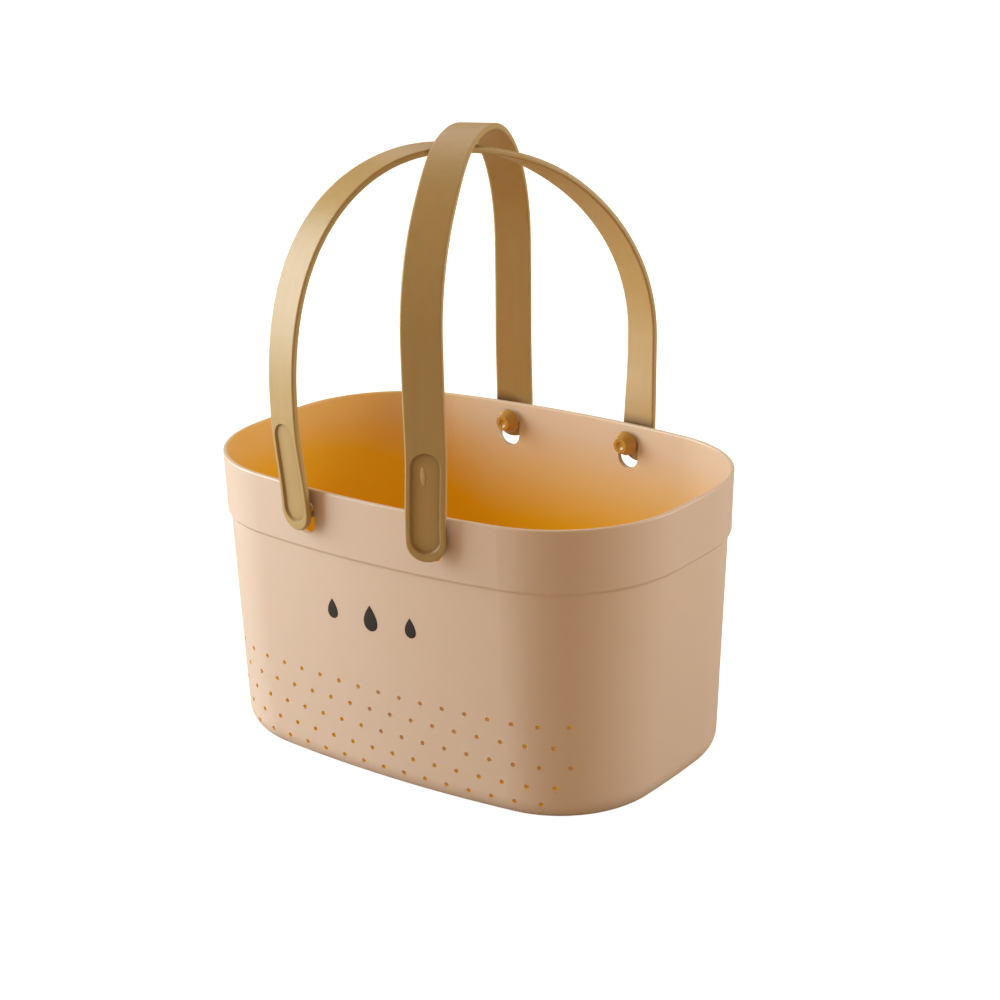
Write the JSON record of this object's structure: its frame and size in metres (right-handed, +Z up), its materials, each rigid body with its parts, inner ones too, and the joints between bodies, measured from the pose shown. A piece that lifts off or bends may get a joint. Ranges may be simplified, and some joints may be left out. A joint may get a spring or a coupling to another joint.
{
  "type": "shower caddy",
  "caption": "Oval tote basket with drain holes and crossed carrying straps that snap into slots under its rim.",
  "frame": {"origin": "centre of the basket's base, on the surface it stands on", "axes": "+Z up, +X along the basket's long side, +Y from the front long wall to the rear one"},
  "size_m": [0.25, 0.1966, 0.3026],
  "materials": {
    "basket": "satin moulded polypropylene, warm beige",
    "strap": "satin thermoplastic elastomer, khaki brown"
  },
  "bodies": {
    "basket": {"basket": "basket"},
    "over_handle": {"over_strap": "strap", "over_stud_front": "strap", "over_stud_rear": "strap"},
    "under_handle": {"under_strap": "strap", "under_stud_front": "strap", "under_stud_rear": "strap"}
  },
  "joints": [
    {"name": "over_hinge", "type": "hinge", "parent": "basket", "child": "over_handle", "pos_m": [0, 0, 0.1355], "axis": [-0.4001, 0.9165, 0], "range_deg": [0, 30]},
    {"name": "under_hinge", "type": "hinge", "parent": "basket", "child": "under_handle", "pos_m": [0, 0, 0.1355], "axis": [0.4001, 0.9165, 0], "range_deg": [-20, 2]}
  ]
}
